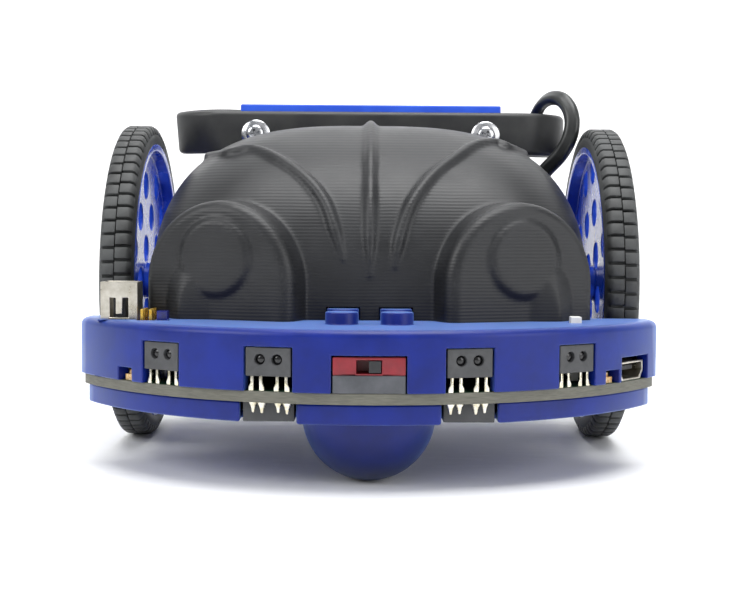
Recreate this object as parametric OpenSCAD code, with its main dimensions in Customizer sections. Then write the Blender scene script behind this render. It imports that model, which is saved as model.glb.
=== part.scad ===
// Line follower robot: a board between two shells, two geared wheels, a front skid,
// a printed hood and an upright battery box held by a rubber strap.
// +Z is up, the front faces -Y, and the floor is z = 0.

/* [Body] */
// Width across the front corners of the shells
body_w = 89; // [70:0.5:120]
// How far the front edge bows forward of the corners
front_depth = 25; // [18:0.5:26]
// Width of the shells between the wheels
tail_w = 72; // [64:0.5:90]
// Distance from the front edge to the wheel axle
axle_back = 58.5; // [56:0.5:75]
// Distance from the axle to the back of the shells
tail_back = 25.5; // [24:0.5:40]
// Shell wall thickness
wall = 2; // [1.6:0.1:3]
// Height of the upper shell above the board
upper_h = 8.7; // [8:0.1:12]
// Height of the lower shell under the board
lower_h = 2.9; // [2.5:0.1:5]
// Thickness of the circuit board
board_t = 1.6; // [1:0.1:2]
// Radius of the skid under the front
skid_r = 9.8; // [7:0.1:14]
// Distance from the front edge to the middle of the skid
skid_back = 14; // [12:0.5:24]

/* [Wheels] */
// Outer radius of a tyre
wheel_r = 27.5; // [24:0.5:34]
// Width of a tyre
tyre_w = 5.5; // [4:0.1:8]
// Radial thickness of a tyre
tyre_t = 3.2; // [2:0.1:5]
// Gap from the shells to a wheel's inner face
wheel_gap = 2; // [1.5:0.1:5]
// Thickness of the hub's disc
disc_t = 1.6; // [1.2:0.1:2.5]
// Pitch of the toy-brick grid of holes and studs
grid = 8; // [6.5:0.1:8]
// Radius of the holes in the hub
hub_hole_r = 2.4; // [1.5:0.1:2.6]
// Turn of the left hub's hole grid in degrees
left_turn = 45; // [0:1:89]
// Turn of the right hub's hole grid in degrees
right_turn = -16; // [-45:1:45]

/* [Gear motors] */
// Height of a motor and its gearbox
motor_h = 10; // [8:0.5:12]
// Depth of a motor and its gearbox, front to back
motor_d = 12; // [10:0.5:15]
// Length of a motor can
can_l = 15; // [10:0.5:18]
// Length of a gearbox
gearbox_l = 9; // [7:0.5:12]
// Radius of an output shaft
shaft_r = 1.5; // [1:0.1:2]
// Radial running clearance of a shaft in its gearbox
shaft_clear = 0.05; // [0.01:0.01:0.1]

/* [Front sensors] */
// Distance of the inner sensors from the centre line
inner_x = 14; // [11:0.5:18]
// Distance of the outer sensors from the centre line
outer_x = 30; // [27:0.5:33]
// Width of a sensor
sensor_w = 6.6; // [5:0.1:7]
// Height of a sensor
sensor_h = 4; // [3:0.1:4.5]
// Depth of a sensor
sensor_d = 4.6; // [3:0.1:5]

/* [Slide switch] */
// Width of the slide switch
switch_w = 10; // [8:0.1:12]
// Height of the slide switch
switch_h = 5; // [4:0.1:5.5]
// Depth of the slide switch
switch_d = 4.5; // [3.5:0.1:6]
// Width of the switch's knob
knob_w = 1.7; // [1:0.1:2.5]
// Travel of the switch's knob
knob_travel = 1.6; // [1:0.1:2.5]

/* [Hood] */
// Distance from the front edge to the front of the hood
hood_front = 20.4; // [18:0.2:26]
// How far the hood reaches past the wheel axle
hood_past_axle = 2.5; // [0:0.5:3]
// Room above the motors up to the top of the hood
hood_headroom = 22.2; // [16:0.2:30]
// Thickness of the hood
hood_t = 1.8; // [1.2:0.1:2.4]
// Width of a headlamp pod's face
pod_w = 25; // [20:0.2:26]
// Height of a headlamp pod
pod_h = 18; // [14:0.1:20]
// Outward turn of a headlamp pod in degrees
pod_turn = 22; // [10:1:30]

/* [Battery box] */
// Diameter of a cell
cell_d = 10.5; // [8:0.1:12]
// Length of a cell
cell_l = 44.5; // [30:0.5:50]
// Thickness of the box's front wall
box_wall = 2; // [1.6:0.1:3]
// Thickness of the sliding lid
lid_t = 1.4; // [1:0.1:2]
// Thickness of the lips that hold the lid
lip_t = 0.8; // [0.6:0.1:1.2]
// Width of the rubber strap
strap_h = 7.8; // [5:0.1:10]
// Thickness of the rubber strap
strap_t = 2; // [1:0.1:2.4]
// Length of the strap's loop, left to right
strap_l = 73.4; // [68:0.2:90]
// Radius of the strap screws' washers
washer_r = 2.65; // [2:0.05:3.5]

/* [Hidden] */

fine = 96;
eps = 0.01;

// Heights
lower_z = skid_r;
board_z = lower_z + lower_h;
top_z = board_z + board_t;
deck_z = top_z + upper_h;
axle_z = wheel_r;

// Plan
front_w = max(body_w, tail_w + 17); // the sockets stand on the deck beside the hood
front_r = (front_w * front_w / 4 + front_depth * front_depth) / (2 * front_depth);
body_l = axle_back + tail_back;
total_l = max(body_l, axle_back + wheel_r);
cheek_back = axle_back - wheel_r - 1.4;
board_inset = 0.5;
lower_inset = 1.1;
tail_corner = 5;
function back(b) = b - total_l / 2;
function arc_back(x) = front_r - sqrt(front_r * front_r - x * x);
function arc_turn(x) = asin(x / front_r);

// Wheels and motors
wheel_in = tail_w / 2 + wheel_gap;
rim_r = wheel_r - tyre_t;
rim_t = 1.2;
disc_in = wheel_in + 2.2;
boss_r = 3.1;
gearbox_out = tail_w / 2 - 3;
gearbox_in = gearbox_out - gearbox_l;
can_in = gearbox_in - can_l;
motor_z = axle_z - motor_h / 2;
bush_l = 0.8;
bush_r = 2.4;
end_boss_r = 2.2;
terminal_step = end_boss_r + 1;
bracket_t = 1.2;
bracket_fit = 0.1;
foot_l = 5;
foot_step = motor_d / 2 + bracket_fit + bracket_t + foot_l / 2;
well_t = 1.2;
deck_t = wall;

// Front parts on the board
sensor_set = 0.3;
sensor_z = top_z + 2.1;
sensor_fit = 0.25;
line_sensor = [7.2, 3.4];
line_back = arc_back(inner_x) + 2.9;
lead_r = 0.3;
lead_steps = [-2.5, -1.2, 1.2, 2.5];
switch_fit = 0.2;
switch_set = 0.4;
slot_w = knob_w + knob_travel + 0.2;
slot_h = 1.9;
knob_play = 0.1;
light_x = front_w / 2 - 8.6;
micro_x = front_w / 2 - 4.3;
micro = [7.4, 5.4, 2.9];
upright = [5.6, 4.8, 14.3];
upright_x = front_w / 2 - 6.7;
upright_back = arc_back(upright_x + upright[0] / 2) + 0.75 + upright[1] / 2;
header_x = upright_x - upright[0] / 2 - 1.6;
header_back = upright_back - 2;
indicator_x = front_w / 2 - 13.6;
indicator_back = upright_back - 4;

// Studs
stud_r = 2.4;
stud_h = 1.8;
stud_rows = [12, 20, 28, 36];

// Hood
hood_w = tail_w + 0.6;
hood_h = motor_z + motor_h + hood_headroom - deck_z;
hood_lip = 8;
hood_back = axle_back + hood_past_axle;
hood_crown = axle_back - 6.5;
hood_span = hood_crown - hood_front + 8.4;
pod_x = 23.3;
pod_back = hood_front - 0.4;
pod_disc_r = 5.9;
pod_disc_z = 9.4;

// Battery box
cells = 3;
box_front = max(hood_back + strap_t + 2.5, axle_back + motor_d / 2 + 1);
cell_pitch = cell_d + 0.7;
cavity_l = cell_l + 2;
cavity_d = cell_d + 0.4;
box_w = cavity_l + 1.5;
box_floor = 1.6;
box_top = 1.6;
box_h = box_floor + cells * cell_pitch + box_top;
groove = 0.5;
lid_play = 0.1;
box_d = box_wall + cavity_d + lid_t + 2 * lid_play + lip_t;
box_screw_x = box_w / 2 - 8.25;
exit_z = deck_z + box_h - box_top - 4.4;
cell_back = box_front + box_wall + cavity_d / 2;
function cell_z(i) = deck_z + box_floor + (i + 0.5) * cell_pitch;
strap_top = deck_z + box_h - 1.4;
strap_z = strap_top - strap_h;
strap_screw_z = strap_top - 4.3;
strap_screw_x = box_w / 2 - 3;
strap_play = 0.1;
strap_end_r = box_d / 2 + strap_play;
strap_straight = max(box_w / 2 + 0.2, strap_l / 2 - strap_end_r - strap_t);
thread_r = 1;

// Power cable: its route in the part's own frame
cable_r = 1.4;
cable_points = [[23.4, 29.95, 53.8], [24.4, 29.95, 53.8], [25.4, 29.95, 53.8], [27.6, 29.9, 54.3],
                [29.6, 29.4, 55.8], [30.9, 28.2, 58.1], [31.9, 26, 60.3], [33.2, 23.3, 61.3],
                [34.8, 20.6, 60.9], [36, 18.5, 59], [36.4, 17.3, 56.3], [35.8, 17.1, 53.3],
                [34.3, 17.9, 50.5], [32.2, 19.3, 48.1], [30.2, 20.8, 45.5], [28.8, 22.3, 42.7],
                [28.1, 24.3, 40.2], [28.2, 27, 38.5], [28.9, 29.8, 37.5], [29.6, 31.9, 35.9],
                [29.95, 33, 33.6], [30, 33.2, 31.4], [30, 33.2, 29.8], [30, 33.2, 28.2]];
cable_sides = 8;
cable_rings_per_span = 3;
plug = [6, 4.6, 5.4];
plug_x = 30;
plug_back = 33.2 + total_l / 2;

// Outline shared by the shells and the board
module outline(inset = 0, length = body_l) {
    intersection() {
        translate([0, back(front_r)]) circle(r = front_r - inset, $fn = 360);
        translate([-front_w / 2 + inset, back(0)])
            square([front_w - 2 * inset, cheek_back - inset]);
    }
    tail_outline(inset, length);
}

module tail_outline(inset, length) {
    half = tail_w / 2 - inset;
    translate([-half, back(cheek_back - inset - 6)])
        square([2 * half, length - cheek_back + 6 - tail_corner]);
    translate([-half + tail_corner, back(length - tail_corner - inset) - eps])
        square([2 * (half - tail_corner), tail_corner + eps]);
    for (side = [-1, 1])
        translate([side * (half - tail_corner), back(length - tail_corner - inset)])
            circle(r = tail_corner, $fn = fine);
}

// Puts a child on the front arc at a distance x from the centre line, facing outward
module on_front(x, inset = 0) {
    translate([x, back(arc_back(x)), 0]) rotate([0, 0, arc_turn(x)]) translate([0, inset, 0]) children();
}

module block(size, z = 0) {
    translate([-size[0] / 2, 0, z]) cube(size);
}

// ---- Shells and board ----

module skid() {
    translate([0, back(skid_back), skid_r]) intersection() {
        sphere(r = skid_r, $fn = fine);
        translate([-skid_r, -skid_r, -skid_r]) cube([2 * skid_r, 2 * skid_r, skid_r]);
    }
}

head_r = 1.8;
head_t = 1;
screw_spots = [for (side = [-1, 1], b = [axle_back - 18.5, body_l - 8]) [24 * side, b]];

module at_shell_screws() {
    for (spot = screw_spots) translate([spot[0], back(spot[1]), 0]) children();
}

module lower_shell() {
    color("mediumblue") difference() {
        union() {
            translate([0, 0, lower_z]) linear_extrude(lower_h) outline(lower_inset);
            skid();
        }
        translate([0, 0, lower_z + 1.2]) linear_extrude(lower_h) outline(lower_inset + wall);
        for (side = [-1, 1])
            translate([side * inner_x, back(-1), 0])
                block([line_sensor[0] + 0.8, line_back + line_sensor[1] + 1.4, lower_h + 2], lower_z - 1);
        screw_sink();
    }
    color("mediumblue") difference() {
        at_shell_screws() translate([0, 0, lower_z + 1.2 - eps])
            cylinder(r = 3, h = lower_h - 1.2 + eps, $fn = 48);
        screw_sink();
    }
}

// A sunk hole for each screw that holds the two shells together
module screw_sink() {
    at_shell_screws() {
        translate([0, 0, lower_z - 1]) cylinder(r = head_r + 0.2, h = 1 + head_t + 0.1, $fn = 48);
        translate([0, 0, lower_z - 1]) cylinder(r = 1.1, h = lower_h + 2, $fn = 48);
    }
}

module circuit_board() {
    color("darkolivegreen") difference() {
        translate([0, 0, board_z]) linear_extrude(board_t) outline(board_inset);
        at_shell_screws() translate([0, 0, board_z - 1]) cylinder(r = 1.1, h = board_t + 2, $fn = 48);
    }
}

module shell_screws() {
    color("silver") at_shell_screws() {
        translate([0, 0, lower_z + 0.1]) cylinder(r = head_r, h = head_t, $fn = 48);
        translate([0, 0, lower_z + 1]) cylinder(r = 0.95, h = lower_h + board_t + 2.6, $fn = 48);
    }
}

// The block under a motor, or the pocket it sinks into, from one height to another
module motor_base(side, grow, low, high) {
    translate([side > 0 ? can_in - 2 - grow : -gearbox_out - grow, back(axle_back - motor_d / 2) - grow, low])
        cube([gearbox_out - can_in + 2 + 2 * grow, motor_d + 2 * grow, high - low]);
}

module upper_shell() {
    color("blue") difference() {
        union() {
            difference() {
                translate([0, 0, top_z]) linear_extrude(upper_h) outline();
                translate([0, 0, top_z - 1]) linear_extrude(upper_h - deck_t + 1) outline(wall);
            }
            for (side = [-1, 1]) {
                motor_base(side, well_t, min(motor_z, deck_z - deck_t + eps) - well_t, deck_z);
                if (motor_z > deck_z) motor_base(side, 0, deck_z - eps, motor_z);
            }
            at_shell_screws() translate([0, 0, top_z]) cylinder(r = 2.6, h = upper_h - eps, $fn = 48);
            for (row = stud_rows, side = [-1, 1])
                translate([side * grid / 2, back(row), deck_z - eps])
                    cylinder(r = stud_r, h = stud_h + eps, $fn = 64);
        }
        for (side = [-1, 1]) motor_base(side, 0.1, motor_z, motor_z + 40);
        at_shell_screws() translate([0, 0, top_z - 1]) cylinder(r = 0.95, h = 5, $fn = 48);
        for (x = [-outer_x, -inner_x, inner_x, outer_x])
            on_front(x, -4)
                block([sensor_w + 2 * sensor_fit, sensor_d + 5, sensor_z - top_z + sensor_h + 1.1], top_z - 1);
        translate([0, back(-1), 0])
            block([switch_w + 2 * switch_fit, switch_d + 2, switch_h + 1.2], top_z - 1);
        for (side = [-1, 1]) on_front(side * light_x, -3) block([3.2, 7, 3], top_z - 1);
        on_front(micro_x, -4) block([micro[0] + 0.6, micro[1] + 5, micro[2] + 1.8], top_z - 1);
        translate([-upright_x, back(upright_back) - upright[1] / 2 - 0.2, 0])
            block([upright[0] + 0.4, upright[1] + 0.4, 30], top_z - 1);
        translate([-header_x, back(header_back) - 3, 0]) block([3, 6, 20], top_z - 1);
        for (side = [-1, 1]) {
            translate([side * indicator_x, back(indicator_back) - 1.1, 0]) block([1.8, 2.2, 20], top_z - 1);
            for (step = [-terminal_step, terminal_step])
                translate([side * (can_in - 0.9), back(axle_back) + step, top_z - 1])
                    cylinder(r = 0.9, h = 30, $fn = 32);
            translate([side * box_screw_x, back(cell_back), deck_z - 5]) cylinder(r = 1.1, h = 10, $fn = 48);
        }
        translate([plug_x, back(plug_back) - plug[1] / 2 - 0.2, 0])
            block([plug[0] + 0.4, plug[1] + 0.4, 30], top_z - 1);
        at_bracket_screws() translate([0, 0, deck_z - 5]) cylinder(r = 0.95, h = 10, $fn = 32);
    }
}

// ---- Parts on the board ----

module sensor(x) {
    color("dimgray") on_front(x, sensor_set) difference() {
        block([sensor_w, sensor_d, sensor_h], sensor_z);
        for (step = [-1.25, 1.25])
            translate([step, -1, sensor_z + sensor_h * 0.58]) rotate([-90, 0, 0])
                cylinder(r = 0.75, h = 1.6, $fn = 48);
    }
}

module leads(x) {
    color("silver") on_front(x, sensor_set + 0.6) for (step = lead_steps)
        translate([step, 0, top_z]) cylinder(r = lead_r, h = sensor_z - top_z, $fn = 24);
}

module inner_sensor_leads() { for (side = [-1, 1]) leads(side * inner_x); }
module outer_sensor_leads() { for (side = [-1, 1]) leads(side * outer_x); }

module solder_joints() {
    color("whitesmoke") for (side = [-1, 1]) on_front(side * inner_x, board_inset + 0.75)
        for (step = lead_steps) translate([step, 0, board_z - 1.5])
            cylinder(r1 = 0.2, r2 = 0.6, h = 1.5, $fn = 32);
}

module line_sensor(side) {
    color("#26262b") translate([side * inner_x, back(line_back), 0]) difference() {
        block([line_sensor[0], line_sensor[1], lower_h], lower_z);
        for (step = [-1.8, 1.8]) translate([step, line_sensor[1] / 2, lower_z - 1])
            cylinder(r = 0.8, h = 1.6, $fn = 48);
    }
}

module status_light(side) {
    color("gold") on_front(side * light_x, board_inset + 0.6) {
        block([2.4, 2, 0.9], top_z);
        translate([0, 0.4, 0]) block([1.4, 1.2, 0.6], top_z + 0.9 - eps);
    }
}

module micro_socket() {
    color("silver") on_front(micro_x, board_inset + 0.3) difference() {
        translate([0, micro[1], top_z]) rotate([90, 0, 0]) linear_extrude(micro[1]) micro_mouth(0);
        translate([0, micro[1] - 0.5, top_z]) rotate([90, 0, 0]) linear_extrude(micro[1]) micro_mouth(0.35);
    }
}

module micro_mouth(inset) {
    w = micro[0] / 2;
    h = micro[2];
    polygon([[-w + 0.9 + inset, inset], [w - 0.9 - inset, inset], [w - inset, 1.1 + inset],
             [w - inset, h - inset],
             [-w + inset, h - inset], [-w + inset, 1.1 + inset]]);
}

module micro_socket_tongue() {
    color("#202024") on_front(micro_x, board_inset + 1.3)
        block([4.2, micro[1] - 1.5, 0.7], top_z + micro[2] - 1.4);
}

module upright_socket() {
    color("silver") translate([-upright_x, back(upright_back), top_z]) difference() {
        translate([-upright[0] / 2, -upright[1] / 2, 0]) cube(upright);
        translate([-upright[0] / 2 + 0.4, -upright[1] / 2 + 0.4, 1])
            cube([upright[0] - 0.8, upright[1] - 0.8, upright[2]]);
        translate([-1.4, -upright[1] / 2 - 1, upright[2] - 5.4]) difference() {
            cube([2.8, 2, 3]);
            translate([0.9, -1, 0.5]) cube([1, 4, 3]);
        }
    }
}

module upright_socket_insert() {
    color("#202024") translate([-upright_x - 0.2, back(upright_back), top_z + 1])
        translate([-0.8, -upright[1] / 2 + 1, 0]) cube([1.8, upright[1] - 2, upright[2] - 3.5]);
}

module pin_header_base() {
    color("#202024") translate([-header_x, back(header_back), top_z]) difference() {
        translate([-1.3, -2.6, 0]) cube([2.6, 5.2, 2]);
        header_spots() translate([-0.25, -0.25, -1]) cube([0.5, 0.5, 4]);
    }
}

module header_spots() {
    for (x = [-0.635, 0.635], y = [-1.905, -0.635, 0.635, 1.905]) translate([x, y, 0]) children();
}

module pin_header() {
    color("gold") translate([-header_x, back(header_back), top_z])
        header_spots() translate([-0.25, -0.25, 0]) cube([0.5, 0.5, deck_z - top_z + 1.6]);
}

module indicator(side, tall) {
    color("navy") translate([side * indicator_x, back(indicator_back) - 1, 0])
        block([1.6, 2, upper_h + tall], top_z);
}

module switch_base() {
    color("#4a4a50") translate([0, back(switch_set), 0]) block([switch_w, switch_d, switch_h / 2], top_z);
}

module switch_cover() {
    color("firebrick") translate([0, back(switch_set), 0]) difference() {
        block([switch_w, switch_d, switch_h / 2], top_z + switch_h / 2);
        translate([-slot_w / 2, -1, top_z + switch_h / 2 + 0.2]) cube([slot_w, switch_d, slot_h]);
    }
}

module switch_knob() {
    color("#303036")
        translate([slot_w / 2 - knob_play - knob_w, back(switch_set) + 0.15, top_z + switch_h / 2 + 0.2 + knob_play])
        cube([knob_w, switch_d - 1.35, slot_h - 2 * knob_play]);
}

module chip(x, b, size, tint) {
    color(tint) translate([x - size[0] / 2, back(b) - size[1] / 2, top_z]) cube(size);
}

module microcontroller() {
    chip(0, 44, [9, 9, 1.2], "#1c1c20");
}

module motor_driver() {
    chip(0, 60, [6.5, 7.8, 1.4], "#1c1c20");
}

module voltage_regulator() {
    chip(12, 72, [6.5, 3.5, 1.6], "#1c1c20");
}

module crystal() {
    chip(-9, 42, [3.2, 5, 1.1], "silver");
}

module capacitors() {
    color("silver") for (x = [-8, 8]) translate([x, back(30), top_z]) cylinder(r = 2, h = 4.4, $fn = 48);
}

// ---- Drive ----

module at_gearbox(side) {
    translate([0, back(axle_back), axle_z]) mirror([side > 0 ? 0 : 1, 0, 0]) children();
}

module motor(side) {
    color("silver") at_gearbox(side) intersection() {
        translate([can_in, 0, 0]) rotate([0, 90, 0]) union() {
            cylinder(r = motor_d / 2, h = can_l, $fn = fine);
            translate([0, 0, -1]) cylinder(r = end_boss_r, h = 1 + eps, $fn = 48);
        }
        translate([can_in - 1, -motor_d / 2, -motor_h / 2]) cube([can_l + 1, motor_d, motor_h]);
    }
}

module gearbox(side) {
    color("goldenrod") at_gearbox(side) difference() {
        union() {
            translate([gearbox_in, -motor_d / 2, -motor_h / 2]) cube([gearbox_l, motor_d, motor_h]);
            translate([gearbox_out - eps, 0, 0]) rotate([0, 90, 0])
                cylinder(r = bush_r, h = bush_l + eps, $fn = 64);
        }
        translate([gearbox_in + 3, 0, 0]) rotate([0, 90, 0])
            cylinder(r = shaft_r + shaft_clear, h = gearbox_l + bush_l, $fn = fine);
    }
}

module shaft(side) {
    color("silver") at_gearbox(side)
        translate([gearbox_in + 3.1, 0, 0]) rotate([0, 90, 0])
            cylinder(r = shaft_r, h = disc_in + disc_t - gearbox_in - 3.1, $fn = fine);
}

module at_bracket_screws() {
    for (side = [-1, 1], end = [-1, 1])
        translate([side * (gearbox_in + gearbox_l / 2), back(axle_back) + end * foot_step, 0]) children();
}

module bracket(side) {
    inner_d = motor_d / 2 + bracket_fit;
    x = side > 0 ? gearbox_in + 0.5 : -gearbox_out + 0.5;
    w = gearbox_l - 1;
    color("white") difference() {
        union() {
            translate([x, back(axle_back) - inner_d - bracket_t, deck_z])
                cube([w, 2 * (inner_d + bracket_t), axle_z + motor_h / 2 + bracket_fit + bracket_t - deck_z]);
            translate([x, back(axle_back) - inner_d - bracket_t - foot_l, deck_z])
                cube([w, 2 * (inner_d + bracket_t + foot_l), bracket_t]);
        }
        translate([x - 1, back(axle_back) - inner_d, deck_z - 1])
            cube([w + 2, 2 * inner_d, axle_z + motor_h / 2 + bracket_fit - deck_z + 1]);
        at_bracket_screws() translate([0, 0, deck_z - 1]) cylinder(r = 1.1, h = 4, $fn = 32);
    }
}

module bracket_screws() {
    color("silver") at_bracket_screws() {
        translate([0, 0, deck_z + bracket_t]) cylinder(r = 1.7, h = 1, $fn = 32);
        translate([0, 0, deck_z - 3.5]) cylinder(r = 0.9, h = 3.5 + bracket_t + eps, $fn = 32);
    }
}

module motor_leads() {
    color("firebrick") for (side = [-1, 1], step = [-terminal_step, terminal_step])
        translate([side * (can_in - 0.9), back(axle_back) + step, top_z])
            cylinder(r = 0.6, h = axle_z - top_z, $fn = 24);
}

function hub_spots() = [for (i = [-2.5:2.5], j = [-2.5:2.5])
    if (norm([i, j]) * grid + hub_hole_r < rim_r - rim_t) [i * grid, j * grid]];

module hub(side, turn) {
    color("royalblue") at_gearbox(side) rotate([0, 90, 0]) difference() {
        union() {
            translate([0, 0, disc_in]) cylinder(r = rim_r - rim_t + eps, h = disc_t, $fn = fine);
            difference() {
                translate([0, 0, wheel_in]) cylinder(r = rim_r, h = tyre_w, $fn = 180);
                translate([0, 0, wheel_in - 1]) cylinder(r = rim_r - rim_t, h = tyre_w + 2, $fn = 180);
            }
            translate([0, 0, wheel_in - 0.6])
                cylinder(r = boss_r, h = disc_in - wheel_in + 0.6 + eps, $fn = fine);
        }
        translate([0, 0, wheel_in - 2]) cylinder(r = shaft_r, h = 20, $fn = fine);
        rotate([0, 0, turn]) for (spot = hub_spots())
            translate([spot[0], spot[1], disc_in - 1]) cylinder(r = hub_hole_r, h = disc_t + 2, $fn = 48);
    }
}

module tyre(side) {
    shoulder = 0.8;
    color("#202020") at_gearbox(side) rotate([0, 90, 0]) rotate_extrude($fn = 180)
        polygon([[rim_r, wheel_in], [wheel_r - shoulder, wheel_in], [wheel_r, wheel_in + shoulder],
                 [wheel_r, wheel_in + tyre_w - shoulder], [wheel_r - shoulder, wheel_in + tyre_w],
                 [rim_r, wheel_in + tyre_w]]);
}

// ---- Hood ----

function hood_rise(b) = hood_lip + (hood_h - hood_lip) *
    sqrt(1 - pow(min(1, max(0, (hood_crown - b) / (hood_crown - hood_front))), 2));
function hood_half(b) = hood_w / 2 * pow(1 - pow(max(0, hood_crown - b) / hood_span, 3), 1 / 3);

// A slice of the hood across the body, as points from the left foot over the top to the right foot
function hood_slice(b, inset, low) = [for (a = [180:-9:0])
    let(c = cos(a), s = sin(a), u = pow(abs(c), 2 / 3), v = pow(abs(s), 2 / 3))
    [sign(c) * u * (hood_half(b) - inset), back(b),
     deck_z + (a == 0 || a == 180 ? -low : v * (hood_rise(b) - inset))]];

hood_slices = 10;
slice_points = 21;

module hood_solid(inset, low, front_b, back_b) {
    slices = [for (i = [0:hood_slices]) let(t = i / hood_slices)
        hood_slice(front_b + (back_b - front_b) * pow(t, 1.5), inset, low)];
    points = [for (s = slices, p = s) p];
    n = slice_points;
    last = hood_slices * n;
    faces = concat(
        [for (i = [0:hood_slices - 1], j = [0:n - 2])
            [(i + 1) * n + j, (i + 1) * n + j + 1, i * n + j + 1, i * n + j]],
        [for (i = [0:hood_slices - 1]) [(i + 1) * n + n - 1, (i + 1) * n, i * n, i * n + n - 1]],
        [[for (j = [0:n - 1]) j], [for (j = [n - 1:-1:0]) last + j]]);
    polyhedron(points = points, faces = faces, convexity = 4);
}

module pod(side, inset) {
    half = pod_w / 2 - inset;
    translate([side * pod_x, back(pod_back), deck_z]) rotate([0, 0, side * pod_turn])
        translate([0, 16, 0]) rotate([90, 0, 0]) linear_extrude(16 - inset) intersection() {
            union() {
                translate([0, pod_h - pod_w / 2]) circle(r = half, $fn = fine);
                translate([-half, -2]) square([2 * half, pod_h - pod_w / 2 + 2]);
            }
            translate([-half, inset > 0 ? -1 : 0]) square([2 * half, pod_h + 1]);
        }
}

module pod_disc(side) {
    translate([side * pod_x, back(pod_back), deck_z + pod_disc_z]) rotate([0, 0, side * pod_turn])
        rotate([90, 0, 0]) translate([0, 0, -1]) cylinder(r = pod_disc_r, h = 1.7, $fn = fine);
}

module hood() {
    color("#2a2a2c") difference() {
        union() {
            hood_solid(0, 0, hood_front, hood_back);
            for (side = [-1, 1]) {
                pod(side, 0);
                pod_disc(side);
            }
        }
        hood_solid(hood_t, 1, hood_front + hood_t, hood_back + 1);
        for (side = [-1, 1]) {
            pod(side, hood_t);
            translate([side * grid / 2 - stud_r - 0.2, back(hood_front - 2), deck_z - 1])
                cube([2 * stud_r + 0.4, 5, stud_h + 1.2]);
            translate([side * (hood_w / 2) - 6, back(axle_back) - bush_r - 0.6, deck_z - 1])
                cube([12, 2 * bush_r + 1.2, axle_z + bush_r + 0.6 - deck_z + 1]);
        }
    }
}

// ---- Battery box and strap ----

module battery_box() {
    color("royalblue") difference() {
        translate([0, back(box_front), 0]) block([box_w, box_d, box_h], deck_z);
        translate([0, back(box_front + box_wall), 0])
            block([cavity_l, box_d, box_h - box_floor - box_top], deck_z + box_floor);
        translate([0, back(box_front + box_wall + cavity_d), 0])
            block([cavity_l + 2 * groove, lid_t + 2 * lid_play, box_h], deck_z + box_floor);
        for (side = [-1, 1]) {
            translate([side * strap_screw_x, back(box_front - 1), strap_screw_z]) rotate([-90, 0, 0])
                cylinder(r = thread_r, h = box_wall + 2, $fn = 48);
            translate([side * box_screw_x, back(cell_back), deck_z - 1])
                cylinder(r = 1, h = box_floor + 2, $fn = 48);
        }
        translate([cavity_l / 2 - 1, back(cell_back), exit_z]) rotate([0, 90, 0])
            cylinder(r = cable_r + 0.1, h = 10, $fn = 48);
    }
}

module battery_lid() {
    color("royalblue") translate([0, back(box_front + box_wall + cavity_d + lid_play), 0])
        block([cavity_l + 2 * groove - 2 * lid_play, lid_t, box_h - box_floor - lid_play],
         deck_z + box_floor + lid_play);
}

module cell(i) {
    flip = i % 2 == 0 ? 0 : 1;
    color("silver") translate([0, back(cell_back), cell_z(i)]) mirror([flip, 0, 0]) rotate([0, 90, 0]) {
        translate([0, 0, -cell_l / 2]) cylinder(r = cell_d / 2, h = cell_l - 1, $fn = fine);
        translate([0, 0, cell_l / 2 - 1 - eps]) cylinder(r = 1.9, h = 1 + eps, $fn = 48);
    }
}

module battery_contacts() {
    color("silver") for (i = [0:cells - 1], side = [-1, 1])
        translate([side > 0 ? cell_l / 2 + 0.5 : -cell_l / 2 - 0.8, back(cell_back) - 4, cell_z(i) - 4])
            cube([0.3, 8, 8]);
}

module box_screws() {
    color("silver") for (side = [-1, 1]) translate([side * box_screw_x, back(cell_back), 0]) {
        translate([0, 0, deck_z - deck_t - 1]) cylinder(r = 1.8, h = 1, $fn = 48);
        translate([0, 0, deck_z - deck_t - eps]) cylinder(r = 0.95, h = deck_t + box_floor - 0.2, $fn = 48);
    }
}

module strap_outline(r) {
    square([2 * strap_straight, 2 * r], center = true);
    for (side = [-1, 1]) translate([side * strap_straight, 0]) circle(r = r, $fn = fine);
}

module rubber_strap() {
    color("#1e1e20") difference() {
        translate([0, back(box_front + box_d / 2), strap_z]) linear_extrude(strap_h) difference() {
            strap_outline(strap_end_r - strap_play + strap_t);
            strap_outline(strap_end_r - strap_play);
        }
        at_strap_screws() cylinder(r = thread_r + 0.1, h = 8, center = true, $fn = 48);
    }
}

module at_strap_screws() {
    for (side = [-1, 1])
        translate([side * strap_screw_x, back(box_front - strap_t), strap_screw_z])
            rotate([90, 0, 0]) children();
}

module strap_washers() {
    color("silver") at_strap_screws() difference() {
        cylinder(r = washer_r, h = 0.5, $fn = 64);
        translate([0, 0, -1]) cylinder(r = thread_r + 0.1, h = 3, $fn = 48);
    }
}

module strap_screws() {
    color("silver") at_strap_screws() difference() {
        union() {
            translate([0, 0, 0.5]) intersection() {
                cylinder(r = 1.65, h = 1.3, $fn = 64);
                translate([0, 0, -0.7]) sphere(r = 2, $fn = 64);
            }
            translate([0, 0, -strap_t - box_wall + 0.1])
                cylinder(r = thread_r - 0.02, h = strap_t + box_wall + 0.5, $fn = 48);
        }
        for (turn = [0, 90]) rotate([0, 0, turn]) translate([-0.9, -0.2, 1.1]) cube([1.8, 0.4, 2]);
    }
}

// ---- Power cable ----

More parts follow.
